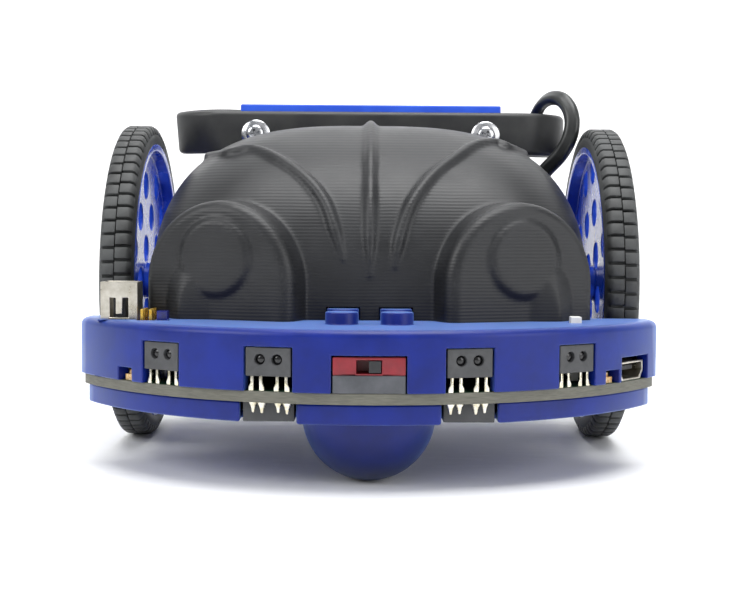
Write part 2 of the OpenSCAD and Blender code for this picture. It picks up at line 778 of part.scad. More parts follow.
// A smooth curve through four neighbouring points, at t from 0 to 1 between the middle two
function span_point(p0, p1, p2, p3, t) = 0.5 * (2 * p1 + (p2 - p0) * t
    + (2 * p0 - 5 * p1 + 4 * p2 - p3) * t * t + (3 * p1 - p0 - 3 * p2 + p3) * t * t * t);
function route(p) = let(n = len(p), k = cable_rings_per_span) concat(
    [for (i = [0:n - 2], j = [0:k - 1])
        span_point(p[max(0, i - 1)], p[i], p[i + 1], p[min(n - 1, i + 2)], j / k)], [p[n - 1]]);
function unit(v) = v / norm(v);
function heading(p, i) = unit(p[min(len(p) - 1, i + 1)] - p[max(0, i - 1)]);
// Carries a sideways direction along the route, so the tube doesn't twist
function sideways(p, i) = i == 0 ? unit(cross(heading(p, 0), [0, 1, 0]))
    : let(s = sideways(p, i - 1), h = heading(p, i)) unit(s - (s * h) * h);

module tube(points, r, sides) {
    line = route(points);
    rings = len(line);
    skin = [for (i = [0:rings - 1]) let(h = heading(line, i), s = sideways(line, i), o = cross(h, s))
        for (k = [0:sides - 1]) line[i] + r * (cos(360 * k / sides) * s + sin(360 * k / sides) * o)];
    faces = concat(
        [for (i = [0:rings - 2], k = [0:sides - 1]) let(m = (k + 1) % sides)
            [i * sides + k, (i + 1) * sides + k, (i + 1) * sides + m, i * sides + m]],
        [[for (k = [0:sides - 1]) k], [for (k = [sides - 1:-1:0]) (rings - 1) * sides + k]]);
    polyhedron(points = skin, faces = faces, convexity = 6);
}

module power_cable() {
    color("#1a1a1c") tube(cable_points, cable_r, cable_sides);
}

module cable_plug() {
    color("#202024") translate([plug_x, back(plug_back) - plug[1] / 2 + 0.5, 0])
        block([plug[0] - 1, plug[1] - 1, 28.2 - top_z - 7.5], top_z + 7.5);
}

module power_header() {
    color("whitesmoke") translate([plug_x, back(plug_back) - plug[1] / 2, 0])
        block([plug[0], plug[1], 7.5], top_z);
}

lower_shell();
circuit_board();
upper_shell();
shell_screws();
sensor(-outer_x);  // outer_left_sensor
sensor(-inner_x);  // inner_left_sensor
sensor(inner_x);  // inner_right_sensor
sensor(outer_x);  // outer_right_sensor
inner_sensor_leads();
outer_sensor_leads();
solder_joints();
line_sensor(-1);  // left_line_sensor
line_sensor(1);  // right_line_sensor
status_light(-1);  // left_status_light
status_light(1);  // right_status_light
micro_socket();
micro_socket_tongue();
upright_socket();
upright_socket_insert();
pin_header();
pin_header_base();
indicator(-1, 1.4);  // left_indicator
indicator(1, 0.9);  // right_indicator
switch_base();
switch_cover();
switch_knob();
microcontroller();
motor_driver();
voltage_regulator();
crystal();
capacitors();
motor(-1);  // left_motor
motor(1);  // right_motor
gearbox(-1);  // left_gearbox
gearbox(1);  // right_gearbox
bracket(-1);  // left_bracket
bracket(1);  // right_bracket
bracket_screws();
motor_leads();
shaft(-1);  // left_shaft
shaft(1);  // right_shaft
hub(-1, left_turn);  // left_hub
hub(1, right_turn);  // right_hub
tyre(-1);  // left_tyre
tyre(1);  // right_tyre
hood();
battery_box();
battery_lid();
cell(0);  // lower_cell
cell(1);  // middle_cell
cell(2);  // upper_cell
battery_contacts();
box_screws();
rubber_strap();
strap_washers();
strap_screws();
power_cable();
cable_plug();
power_header();
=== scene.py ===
import math
import bmesh
import bpy
from mathutils import Matrix, Vector


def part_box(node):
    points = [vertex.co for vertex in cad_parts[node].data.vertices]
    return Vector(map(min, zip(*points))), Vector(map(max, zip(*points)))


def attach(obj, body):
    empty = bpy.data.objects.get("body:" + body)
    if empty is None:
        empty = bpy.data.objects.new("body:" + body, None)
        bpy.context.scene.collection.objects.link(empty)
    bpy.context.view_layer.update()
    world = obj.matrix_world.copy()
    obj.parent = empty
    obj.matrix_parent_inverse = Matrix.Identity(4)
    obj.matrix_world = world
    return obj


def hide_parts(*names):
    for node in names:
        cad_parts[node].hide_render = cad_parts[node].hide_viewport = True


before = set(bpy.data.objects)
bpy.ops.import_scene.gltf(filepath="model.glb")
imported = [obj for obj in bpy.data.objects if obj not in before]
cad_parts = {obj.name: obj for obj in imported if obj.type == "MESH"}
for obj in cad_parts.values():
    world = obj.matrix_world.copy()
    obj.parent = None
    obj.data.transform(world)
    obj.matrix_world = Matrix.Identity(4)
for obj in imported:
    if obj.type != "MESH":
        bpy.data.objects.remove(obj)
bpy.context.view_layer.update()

mm = 0.001
print("frame loaded:", len(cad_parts), "nodes")

# where things are, read from the frame
shellLow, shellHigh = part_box("upper_shell")
tyreLow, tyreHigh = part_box("left_tyre")
floorZ = tyreLow.z
frontY = shellLow.y  # the foremost point of the bowed front
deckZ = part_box("hood")[0].z
axleY = (tyreLow.y + tyreHigh.y) / 2
axleZ = (tyreLow.z + tyreHigh.z) / 2
bodyWidth = shellHigh.x - shellLow.x


# the camera looks at the front from a little above the deck
cameraSet = {"distance": 176.1 * mm, "height": 36.2 * mm, "lens": 62.0,
             "pitch": 2.92, "yaw": -0.37, "roll": 0.4}
room = {"floorDepth": 0.208, "floorColor": "#f4f5f6", "wallColor": "#fafafa", "wallWidth": 1.6, "ambient": 0.5}
lamps = [
    # name, place, aim, size, watts
    ("ceilingLamp", (0.05, -0.10, 0.75), (0, 0, 0.02), 0.55, 6.5),
    ("windowLamp", (-0.55, -0.35, 0.45), (0, 0, 0.03), 0.40, 2.6),
    ("fillLamp", (0.60, -0.45, 0.30), (0, 0, 0.03), 0.50, 2.0),
    ("backLamp", (0.0, 0.55, 0.50), (0, 0, 0.03), 0.50, 2.4),
]


def toLinear(hexText):
    def channel(value):
        return value / 12.92 if value <= 0.04045 else ((value + 0.055) / 1.055) ** 2.4
    parts = [int(hexText[i:i + 2], 16) / 255 for i in (1, 3, 5)]
    return (*[channel(p) for p in parts], 1.0)


def addNode(tree, kind, settings=None, links=None):
    node = tree.nodes.new("ShaderNode" + kind)
    for name, value in (settings or {}).items():
        if isinstance(name, str) and hasattr(node, name):
            setattr(node, name, value)
        else:
            node.inputs[name].default_value = value
    for name, source in (links or {}).items():
        tree.links.new(source, node.inputs[name])
    return node


def makeCamera():
    data = bpy.data.cameras.new("frontCamera")
    data.lens = cameraSet["lens"]
    data.clip_start, data.clip_end = 0.005, 10
    camera = bpy.data.objects.new("frontCamera", data)
    bpy.context.scene.collection.objects.link(camera)
    camera.location = (0, frontY - cameraSet["distance"], floorZ + cameraSet["height"])
    turn = Matrix.Rotation(math.radians(cameraSet["yaw"]), 4, "Z")
    tilt = Matrix.Rotation(math.radians(90 - cameraSet["pitch"]), 4, "X")
    lean = Matrix.Rotation(math.radians(cameraSet["roll"]), 4, "Z")
    camera.matrix_world = Matrix.Translation(camera.location) @ turn @ tilt @ lean
    bpy.context.scene.camera = camera


def makeRoom():
    scene = bpy.context.scene
    scene.view_settings.view_transform = "Standard"
    world = bpy.data.worlds.new("whiteRoom")
    scene.world = world
    world.use_nodes = True
    tree = world.node_tree
    seen = addNode(tree, "Background", {"Color": toLinear("#ffffff"), "Strength": 1.0})
    cast = addNode(tree, "Background", {"Color": toLinear("#f1f2f4"), "Strength": room["ambient"]})
    path = addNode(tree, "LightPath")
    # a white room to look at, and a dimmer one to light the robot
    both = addNode(tree, "MixShader", links={
        "Fac": path.outputs["Is Camera Ray"], 1: cast.outputs["Background"], 2: seen.outputs["Background"]})
    tree.links.new(both.outputs["Shader"], tree.nodes["World Output"].inputs["Surface"])
    half = room["wallWidth"] / 2
    back = frontY + room["floorDepth"]
    floorMesh = bpy.data.meshes.new("floor")
    floorMesh.from_pydata([(-half, -half, floorZ), (half, -half, floorZ), (half, back, floorZ),
                           (-half, back, floorZ)], [], [(0, 1, 2, 3)])
    wallMesh = bpy.data.meshes.new("backdrop")
    wallMesh.from_pydata([(-half, back + 0.25, floorZ - 0.12), (half, back + 0.25, floorZ - 0.12),
                          (half, back + 0.25, floorZ + 1.0), (-half, back + 0.25, floorZ + 1.0),
                          (-half, back, floorZ - 0.004), (half, back, floorZ - 0.004)],
                         [], [(0, 1, 2, 3), (4, 5, 1, 0)])
    for mesh, color in ((floorMesh, room["floorColor"]), (wallMesh, room["wallColor"])):
        stand = bpy.data.objects.new(mesh.name, mesh)
        scene.collection.objects.link(stand)
        paint = bpy.data.materials.new(mesh.name + "Paper")
        paint.use_nodes = True
        shader = paint.node_tree.nodes["Principled BSDF"]
        shader.inputs["Base Color"].default_value = toLinear(color)
        shader.inputs["Roughness"].default_value = 0.55
        emboss(paint, 2.2, 0.25, (0.3, 1, 1))  # laid paper, with a faint grain from side to side
        mesh.materials.append(paint)
    for name, place, aim, size, watts in lamps:
        data = bpy.data.lights.new(name, "AREA")
        data.size = size
        data.energy = watts
        lamp = bpy.data.objects.new(name, data)
        scene.collection.objects.link(lamp)
        lamp.location = place
        lamp.rotation_euler = (Vector(aim) - Vector(place)).to_track_quat("-Z", "Y").to_euler()


def startLook(name, color, roughness, metallic=0.0, **more):
    material = bpy.data.materials.new(name)
    material.use_nodes = True
    shader = material.node_tree.nodes["Principled BSDF"]
    shader.inputs["Base Color"].default_value = toLinear(color)
    shader.inputs["Roughness"].default_value = roughness
    shader.inputs["Metallic"].default_value = metallic
    for name, value in more.items():
        shader.inputs[name.replace("_", " ")].default_value = value
    return material


def mottle(material, darkColor, lightColor, patchMm, roughLow, roughHigh):
    # broad uneven patches in colour and gloss, as moulded or handled surfaces have
    tree = material.node_tree
    shader = tree.nodes["Principled BSDF"]
    place = addNode(tree, "TexCoord")
    patch = addNode(tree, "TexNoise", {"Scale": 1 / (patchMm * mm), "Detail": 4.0, "Roughness": 0.6},
                    {"Vector": place.outputs["Object"]})
    tint = addNode(tree, "ValToRGB", links={"Fac": patch.outputs["Fac"]})
    tint.color_ramp.elements[0].position, tint.color_ramp.elements[1].position = 0.35, 0.68
    tint.color_ramp.elements[0].color = toLinear(darkColor)
    tint.color_ramp.elements[1].color = toLinear(lightColor)
    tree.links.new(tint.outputs["Color"], shader.inputs["Base Color"])
    gloss = addNode(tree, "MapRange",
                    {"From Min": 0.3, "From Max": 0.7, "To Min": roughLow, "To Max": roughHigh},
                    {"Value": patch.outputs["Fac"]})
    tree.links.new(gloss.outputs["Result"], shader.inputs["Roughness"])
    return material


def emboss(material, grainMm, depthMm, stretch=(1, 1, 1)):
    # fine raised grain, stretched along an axis where the surface was drawn or brushed
    tree = material.node_tree
    place = addNode(tree, "TexCoord")
    scaled = addNode(tree, "Mapping", {"Scale": stretch}, {"Vector": place.outputs["Object"]})
    grain = addNode(tree, "TexNoise", {"Scale": 1 / (grainMm * mm), "Detail": 3.0},
                    {"Vector": scaled.outputs["Vector"]})
    bump = addNode(tree, "Bump", {"Distance": depthMm * mm, "Strength": 0.6}, {"Height": grain.outputs["Fac"]})
    tree.links.new(bump.outputs["Normal"], tree.nodes["Principled BSDF"].inputs["Normal"])
    return material


def frostedBluePolycarbonate():
    # moulded with a fine spark texture: deep blue seen square on, with a painted reflection that turns it a
    # hazy pale blue where the surface is seen at a grazing angle
    look = startLook("frostedBluePolycarbonate", "#082684", 0.36, IOR=1.58, Subsurface_Weight=0.12,
                     Subsurface_Scale=1.2 * mm, Specular_IOR_Level=0.26)
    mottle(look, "#021868", "#05207e", 7.0, 0.32, 0.42)
    tree = look.node_tree
    shader = tree.nodes["Principled BSDF"]
    body = shader.inputs["Base Color"].links[0].from_socket
    # painted reflection: pale blue mixed into the colour where the surface is seen at a grazing angle
    graze = addNode(tree, "LayerWeight", {"Blend": 0.36})
    reflectionMask = addNode(tree, "Math", {"operation": "POWER", 1: 2.6}, {0: graze.outputs["Facing"]})
    paintedReflection = addNode(tree, "MixRGB", {"Color2": toLinear("#6f8fd0")},
                   {"Fac": reflectionMask.outputs["Value"], "Color1": body})
    place = addNode(tree, "TexCoord")
    height = addNode(tree, "SeparateXYZ", links={"Vector": place.outputs["Object"]})
    # painted shade: the colour darkens towards the bottom, so the solid skid is darker than the thin walls
    # above it
    paintedShade = addNode(tree, "MapRange",
                    {"From Min": 1.5 * mm, "From Max": 10.5 * mm, "To Min": 0.3, "To Max": 1.0},
                    {"Value": height.outputs["Z"]})
    shadedBody = addNode(tree, "MixRGB", {"blend_type": "MULTIPLY", "Fac": 1.0},
                  {"Color1": paintedReflection.outputs["Color"], "Color2": paintedShade.outputs["Result"]})
    tree.links.new(shadedBody.outputs["Color"], shader.inputs["Base Color"])
    return emboss(look, 0.25, 0.012)


def printedBlackPla():
    # extruded in 0.25 mm layers; satin, and paler where it catches light
    look = startLook("printedBlackPla", "#1c1d1f", 0.46, IOR=1.46)
    mottle(look, "#18191b", "#242527", 9.0, 0.38, 0.52)
    tree = look.node_tree
    place = addNode(tree, "TexCoord")
    wobble = addNode(tree, "TexNoise", {"Scale": 1 / (14 * mm), "Detail": 2.0},
                     {"Vector": place.outputs["Object"]})
    shifted = addNode(tree, "MixRGB", {"blend_type": "LINEAR_LIGHT", "Fac": 0.00025},
                      {"Color1": place.outputs["Object"], "Color2": wobble.outputs["Color"]})
    layers = addNode(tree, "TexWave",
                     {"bands_direction": "Z", "Scale": math.pi / 20 / (0.25 * mm), "Distortion": 0.0},
                     {"Vector": shifted.outputs["Color"]})
    threads = addNode(tree, "TexWave",
                      {"bands_direction": "X", "Scale": math.pi / 20 / (0.9 * mm), "Distortion": 0.4},
                      {"Vector": place.outputs["Object"]})
    both = addNode(tree, "Math", {"operation": "MULTIPLY_ADD", 1: 0.22},
                   {0: threads.outputs["Fac"], 2: layers.outputs["Fac"]})
    bump = addNode(tree, "Bump", {"Distance": 0.03 * mm, "Strength": 0.5}, {"Height": both.outputs["Value"]})
    tree.links.new(bump.outputs["Normal"], tree.nodes["Principled BSDF"].inputs["Normal"])
    return look


def mouldedTyreRubber():
    # vulcanised rubber: near black, dull, a little dusty in patches
    look = startLook("mouldedTyreRubber", "#343636", 0.6, IOR=1.52)
    mottle(look, "#2c2d2d", "#4a4c4c", 5.0, 0.5, 0.72)
    return emboss(look, 0.3, 0.03)


def glossyBlueAbs():
    # polished mould: saturated blue, sharp highlights
    look = startLook("glossyBlueAbs", "#1c48c4", 0.22, IOR=1.54, Coat_Weight=0.2, Coat_Roughness=0.1)
    return emboss(mottle(look, "#1840b4", "#2450d0", 9.0, 0.2, 0.3), 0.8, 0.006)


def blueBoxAbs():
    # moulded battery box, brighter and less polished than the hubs
    look = startLook("blueBoxAbs", "#1f55dc", 0.32, IOR=1.54)
    return emboss(mottle(look, "#1c4ed2", "#2a60e4", 8.0, 0.28, 0.4), 0.3, 0.01)


def glassFibreLaminate():
    # woven glass in epoxy: an olive grey cut edge with fine layers, and faces masked dark green
    look = startLook("glassFibreLaminate", "#56564a", 0.6, IOR=1.52)
    tree = look.node_tree
    place = addNode(tree, "TexCoord")
    fibres = addNode(tree, "Mapping", {"Scale": (1, 1, 9)}, {"Vector": place.outputs["Object"]})
    weave = addNode(tree, "TexNoise", {"Scale": 1 / (1.6 * mm), "Detail": 5.0},
                    {"Vector": fibres.outputs["Vector"]})
    edge = addNode(tree, "ValToRGB", links={"Fac": weave.outputs["Fac"]})
    edge.color_ramp.elements[0].color = toLinear("#3f4038")
    edge.color_ramp.elements[1].color = toLinear("#77756a")
    shape = addNode(tree, "NewGeometry")
    up = addNode(tree, "SeparateXYZ", links={"Vector": shape.outputs["Normal"]})
    flat = addNode(tree, "Math", {"operation": "ABSOLUTE"}, {0: up.outputs["Z"]})
    isFace = addNode(tree, "Math", {"operation": "GREATER_THAN", 1: 0.8}, {0: flat.outputs["Value"]})
    paint = addNode(tree, "MixRGB", {"Color2": toLinear("#17402a")},
                    {"Fac": isFace.outputs["Value"], "Color1": edge.outputs["Color"]})
    tree.links.new(paint.outputs["Color"], tree.nodes["Principled BSDF"].inputs["Base Color"])
    return look


def platedSteel():
    # bright zinc plating, with fine drawing marks
    look = startLook("platedSteel", "#c2c3c6", 0.22, 1.0)
    mottle(look, "#aeb0b4", "#d2d2d4", 3.0, 0.16, 0.32)
    return emboss(look, 0.2, 0.004, (1, 1, 4))


def stampedTinSteel():
    # thin tinned sheet of the sockets: warm white metal, slightly dull
    look = startLook("stampedTinSteel", "#cfcabd", 0.3, 1.0)
    mottle(look, "#b9b3a4", "#ddd9cf", 2.0, 0.24, 0.4)
    return emboss(look, 0.25, 0.005)


def tinnedWire():
    # solder and tinned leads: bright, warm, uneven
    look = startLook("tinnedWire", "#e2dcc8", 0.26, 1.0)
    mottle(look, "#cbc3a8", "#f1eee2", 0.9, 0.18, 0.38)
    return emboss(look, 0.25, 0.02)


def sensorEpoxy():
    # dark moulded epoxy bodies: charcoal, matte, faintly brown
    look = startLook("sensorEpoxy", "#3a3b3d", 0.5, IOR=1.55)
    mottle(look, "#333436", "#424345", 2.0, 0.42, 0.58)
    return emboss(look, 0.12, 0.01)


def blackNylon():
    # moulded nylon: soft black, dull
    look = startLook("blackNylon", "#242528", 0.5, IOR=1.53)
    mottle(look, "#1e1f22", "#2c2d30", 2.0, 0.42, 0.6)
    return emboss(look, 0.15, 0.01)


def smokedLens():
    # infra-red windows: almost black, glossy
    look = startLook("smokedLens", "#08080a", 0.12, IOR=1.55)
    return mottle(look, "#060608", "#0e0d10", 1.0, 0.1, 0.2)


def redAbs():
    # moulded and a little worn: deep red, satin
    look = startLook("redAbs", "#7c1420", 0.42, IOR=1.54)
    mottle(look, "#70101c", "#8a1826", 2.5, 0.36, 0.5)
    return emboss(look, 0.2, 0.01)


def greyAbs():
    # moulded: dark grey, satin
    look = startLook("greyAbs", "#47494e", 0.45, IOR=1.54)
    mottle(look, "#3f4146", "#505258", 2.5, 0.4, 0.52)
    return emboss(look, 0.2, 0.01)


def goldPlate():
    # thin gold over nickel: yellow, bright, slightly uneven
    look = startLook("goldPlate", "#e0b850", 0.24, 1.0)
    return mottle(look, "#cfa23c", "#ecca6c", 0.8, 0.2, 0.34)


def whiteNylon():
    # moulded nylon: off-white, satin
    look = startLook("whiteNylon", "#e9e9e4", 0.45, IOR=1.53)
    mottle(look, "#dfdfd9", "#f2f2ee", 3.0, 0.4, 0.55)
    return emboss(look, 0.2, 0.01)


def amberResin():
    # clear resin over gold contacts
    look = startLook("amberResin", "#e8b45a", 0.25, IOR=1.5)
    return mottle(look, "#c98c34", "#fbe6b8", 0.5, 0.18, 0.34)


def navyAcrylic():
    # cast light guide: dark blue, glossy
    look = startLook("navyAcrylic", "#141c6e", 0.18, IOR=1.49, Coat_Weight=0.3)
    return mottle(look, "#10175c", "#1c2888", 1.2, 0.14, 0.24)


def strapRubber():
    # smooth extruded rubber: soft black with a faint green-grey bloom
    look = startLook("strapRubber", "#242528", 0.46, IOR=1.52)
    mottle(look, "#1c1d20", "#303130", 8.0, 0.38, 0.56)
    return emboss(look, 0.5, 0.01)


def cableVinyl():
    # soft vinyl jacket: black, satin, long highlights
    look = startLook("cableVinyl", "#1d1f1f", 0.34, IOR=1.53)
    mottle(look, "#171819", "#272a29", 4.0, 0.28, 0.42)
    return emboss(look, 0.4, 0.008)


def motorCan():
    # drawn and plated steel: grey, with marks that run along the can
    look = startLook("motorCan", "#b4b5b8", 0.3, 1.0)
    mottle(look, "#a0a1a5", "#c4c5c8", 4.0, 0.24, 0.4)
    return emboss(look, 0.15, 0.006, (0.2, 3, 3))


def brassPlate():
    # stamped plate: warm yellow, satin
    look = startLook("brassPlate", "#c8a25a", 0.3, 1.0)
    mottle(look, "#b48c46", "#d6b470", 3.0, 0.24, 0.4)
    return emboss(look, 0.2, 0.006)


def cellJacket():
    # printed film over steel: dark grey, slightly metallic
    look = startLook("cellJacket", "#5a5c60", 0.3, 0.4, IOR=1.5)
    return mottle(look, "#4c4e52", "#686a70", 6.0, 0.24, 0.38)


looks = {maker.__name__: maker() for maker in (
    frostedBluePolycarbonate, printedBlackPla, mouldedTyreRubber, glossyBlueAbs, blueBoxAbs,
    glassFibreLaminate, platedSteel, stampedTinSteel, tinnedWire, sensorEpoxy, blackNylon, smokedLens,
    redAbs, greyAbs, goldPlate, whiteNylon, amberResin, navyAcrylic, strapRubber, cableVinyl, motorCan,
    brassPlate, cellJacket)}
print("finishes made:", len(looks))


makeCamera()
makeRoom()
print("camera and room made")


def smoothFaces(mesh, sharpDegrees=35):
    bm = bmesh.new()
    bm.from_mesh(mesh)
    for face in bm.faces:
        face.smooth = True
    for edge in bm.edges:
        edge.smooth = len(edge.link_faces) == 2 and edge.calc_face_angle(0) < math.radians(sharpDegrees)
    bm.to_mesh(mesh)
    bm.free()


def placePiece(name, mesh, look, body, nodes=()):
    piece = bpy.data.objects.new(name, mesh)
    bpy.context.scene.collection.objects.link(piece)
    mesh.materials.clear()
    mesh.materials.append(looks[look])
    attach(piece, body)
    if nodes:
        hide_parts(*nodes)
    return piece


def toMesh(name, bm):
    mesh = bpy.data.meshes.new(name)
    bmesh.ops.recalc_face_normals(bm, faces=bm.faces)
    bm.to_mesh(mesh)
    bm.free()
    return mesh


def applied(name, mesh, modifiers):
    # runs a list of (kind, settings) modifiers on a mesh and returns the result
    holder = bpy.data.objects.new(name + "Holder", mesh)
    bpy.context.scene.collection.objects.link(holder)
    for kind, settings in modifiers:
        modifier = holder.modifiers.new(kind.lower(), kind)
        for key, value in settings.items():
            setattr(modifier, key, value)
    result = bpy.data.meshes.new_from_object(holder.evaluated_get(bpy.context.evaluated_depsgraph_get()))
    result.name = name
    bpy.data.objects.remove(holder)
    return result


def cleanCad(node):
    # a welded copy of a CAD node's mesh
    bm = bmesh.new()
    bm.from_mesh(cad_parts[node].data)
    bmesh.ops.remove_doubles(bm, verts=bm.verts, dist=1e-6)
    bmesh.ops.recalc_face_normals(bm, faces=bm.faces)
    return bm


def roundedNode(node, name, look, body, slot, radius=0.2, steps=2, corner=40, heavy=None, heavyRadius=0.0):
    # a CAD node with its sharp edges rounded; heavy picks the edges that get the larger radius
    bm = cleanCad(node)
    weights = bm.edges.layers.float.new("bevel_weight_edge")
    widest = max(radius, heavyRadius)
    for edge in bm.edges:
        if len(edge.link_faces) == 2 and edge.calc_face_angle(0) > math.radians(corner):
            edge[weights] = (heavyRadius if heavy and heavy(edge) else radius) / widest
    mesh = toMesh(name, bm)
    mesh = applied(name, mesh, [("BEVEL", {"limit_method": "WEIGHT", "width": widest * mm, "segments": steps,
                                           "use_clamp_overlap": False, "loop_slide": False})])
    smoothFaces(mesh)
    mesh = applied(name, mesh, [("WEIGHTED_NORMAL", {"keep_sharp": True, "weight": 80})])
    placePiece(name, mesh, look, body, (node,))


def lathe(bm, profile, place, steps=32):
    # turns (radius, height) points in mm round the Z axis, then moves the result by a matrix
    rings = []
    for radius, height in profile:
        if radius < 1e-6:
            rings.append([bm.verts.new(place @ Vector((0, 0, height * mm)))])
            continue
        turns = [2 * math.pi * k / steps for k in range(steps)]
        rings.append([bm.verts.new(place @ Vector((radius * mm * math.cos(turn), radius * mm * math.sin(turn),
                                                   height * mm))) for turn in turns])
    for low, high in zip(rings, rings[1:]):
        for k in range(steps):
            n = (k + 1) % steps
            corners = [low[k % len(low)], low[n % len(low)], high[n % len(high)], high[k % len(high)]]
            kept = [v for i, v in enumerate(corners) if v not in corners[:i]]
            if len(kept) > 2:
                bm.faces.new(kept)


def prism(bm, outline, depth, place):
    # an outline of (x, z) points in mm, extruded along Y by depth mm
    front = [bm.verts.new(place @ Vector((x * mm, -depth / 2 * mm, z * mm))) for x, z in outline]
    rear = [bm.verts.new(place @ Vector((x * mm, depth / 2 * mm, z * mm))) for x, z in outline]
    bm.faces.new(front)
    bm.faces.new(rear[::-1])
    for i in range(len(outline)):
        j = (i + 1) % len(outline)
        bm.faces.new((front[j], front[i], rear[i], rear[j]))


def bridge(bm, rings, closed=False):
    # joins rings of points into a skin, capped at both ends unless it closes on itself
    for near, far in zip(rings, rings[1:] + rings[:1] if closed else rings[1:]):
        for k in range(len(near)):
            n = (k + 1) % len(near)
            bm.faces.new((near[k], near[n], far[n], far[k]))
    if not closed:
        bm.faces.new(rings[0][::-1])
        bm.faces.new(rings[-1])


def smoothLine(points, steps):
    # a curve through all points, with steps spans between neighbours
    line = []
    for i in range(len(points) - 1):
        before, a = points[max(0, i - 1)], points[i]
        b, after = points[i + 1], points[min(len(points) - 1, i + 2)]
        for k in range(steps):
            t = k / steps
            line.append(0.5 * (2 * a + (b - before) * t + (2 * before - 5 * a + 4 * b - after) * t * t
                               + (3 * a - before - 3 * b + after) * t ** 3))
    return line + [points[-1]]


def sweep(bm, line, profile, side, widths=None, closed=False):
    # carries a closed profile of (across, up) metres along a line; side is the first sideways direction
    rings = []
    last = len(line) - 1
    for i, point in enumerate(line):
        after = line[(i + 1) % len(line)] if closed else line[min(last, i + 1)]
        before = line[i - 1] if closed else line[max(0, i - 1)]
        ahead = (after - before).normalized()
        side = (side - ahead * side.dot(ahead)).normalized()
        up = ahead.cross(side)
        grow = widths[i] if widths else 1
        rings.append([bm.verts.new(point + side * a * grow + up * b * grow) for a, b in profile])
    bridge(bm, rings, closed)


def roundProfile(radius, steps=12):
    return [(radius * math.cos(2 * math.pi * k / steps), radius * math.sin(2 * math.pi * k / steps))
            for k in range(steps)]


def islands(node):
    # the separate solids of a CAD node, each as its lowest and highest corner, sorted left to right
    bm = bmesh.new()
    bm.from_mesh(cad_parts[node].data)
    bmesh.ops.remove_doubles(bm, verts=bm.verts, dist=1e-6)
    seen, found = set(), []
    for first in bm.verts:
        if first in seen:
            continue
        stack, group = [first], []
        seen.add(first)
        while stack:
            vertex = stack.pop()
            group.append(vertex.co)
            for edge in vertex.link_edges:
                other = edge.other_vert(vertex)
                if other not in seen:
                    seen.add(other)
                    stack.append(other)
        found.append((Vector([min(co[i] for co in group) for i in range(3)]),
                      Vector([max(co[i] for co in group) for i in range(3)])))
    bm.free()
    return sorted(found, key=lambda box: box[0].x)


# route points are in mm, from the battery box to the plug on the board
cable = {
    "diameter": 2.8 * mm,
    "route": [(23.4, 29.95, 53.8), (24.4, 29.95, 53.8), (25.4, 29.95, 53.8), (27.6, 29.9, 54.3),
              (29.6, 29.4, 55.8), (30.9, 28.2, 58.1), (31.9, 26, 60.3), (33.2, 23.3, 61.3), (34.8, 20.6, 60.9),
              (36, 18.5, 59), (36.4, 17.3, 56.3), (35.8, 17.1, 53.3), (34.3, 17.9, 50.5), (32.2, 19.3, 48.1),
              (30.2, 20.8, 45.5), (28.8, 22.3, 42.7), (28.1, 24.3, 40.2), (28.2, 27, 38.5), (28.9, 29.8, 37.5),
              (29.6, 31.9, 35.9), (29.95, 33, 33.6), (30, 33.2, 31.4), (30, 33.2, 29.8), (30, 33.2, 28.2)],
    "groove": 0.2,
}


def makeCable():
    line = smoothLine([Vector(p) * mm for p in cable["route"]], 10)
    radius = cable["diameter"] / 2
    profile = []
    for k in range(28):
        turn = 2 * math.pi * k / 28
        waist = 1 - cable["groove"] * abs(math.sin(turn)) ** 6  # a shallow groove between the two cores
        profile.append((radius * math.cos(turn), radius * 0.92 * waist * math.sin(turn)))
    bm = bmesh.new()
    sweep(bm, line, profile, Vector((0, 1, 0)))
    mesh = toMesh("powerCable", bm)
    smoothFaces(mesh, 60)
    piece = placePiece("powerCable", mesh, "cableVinyl", "chassis", ("power_cable",))


makeCable()


shells = {"topEdge": 1.1, "otherEdges": 0.2, "bowDepth": 25 * mm}  # edge radii in mm


def isTopRim(edge):
    # the outer edge of the deck: level with the deck, beside a wall that faces away from the body
    middle = (edge.verts[0].co + edge.verts[1].co) / 2
    walls = [face.normal for face in edge.link_faces if abs(face.normal.z) < 0.2]
    if abs(middle.z - deckZ) > 0.02 * mm or not walls:
        return False
    ahead = middle + walls[0] * 3 * mm
    onTail = abs(middle.x) > -tyreHigh.x - 2.5 * mm or middle.y > shellHigh.y - 6 * mm
    bowRadius = (bodyWidth ** 2 / 4 + shells["bowDepth"] ** 2) / (2 * shells["bowDepth"])
    onBow = ahead.x ** 2 + (ahead.y - frontY - bowRadius) ** 2 > (bowRadius + 1 * mm) ** 2
    aheadOfWheels = middle.y < axleY - (tyreHigh.z - tyreLow.z) / 2 - 2 * mm
    return onBow if aheadOfWheels and walls[0].y < 0.3 else onTail


roundedNode("upper_shell", "upperShell", "frostedBluePolycarbonate", "chassis", "blue_plastic",
            shells["otherEdges"], 4, 40, isTopRim, shells["topEdge"])
roundedNode("lower_shell", "lowerShell", "frostedBluePolycarbonate", "chassis", "blue_plastic", 0.35, 3, 50)
roundedNode("circuit_board", "circuitBoard", "glassFibreLaminate", "chassis", "board", 0.08, 1)
print("shells and board made")


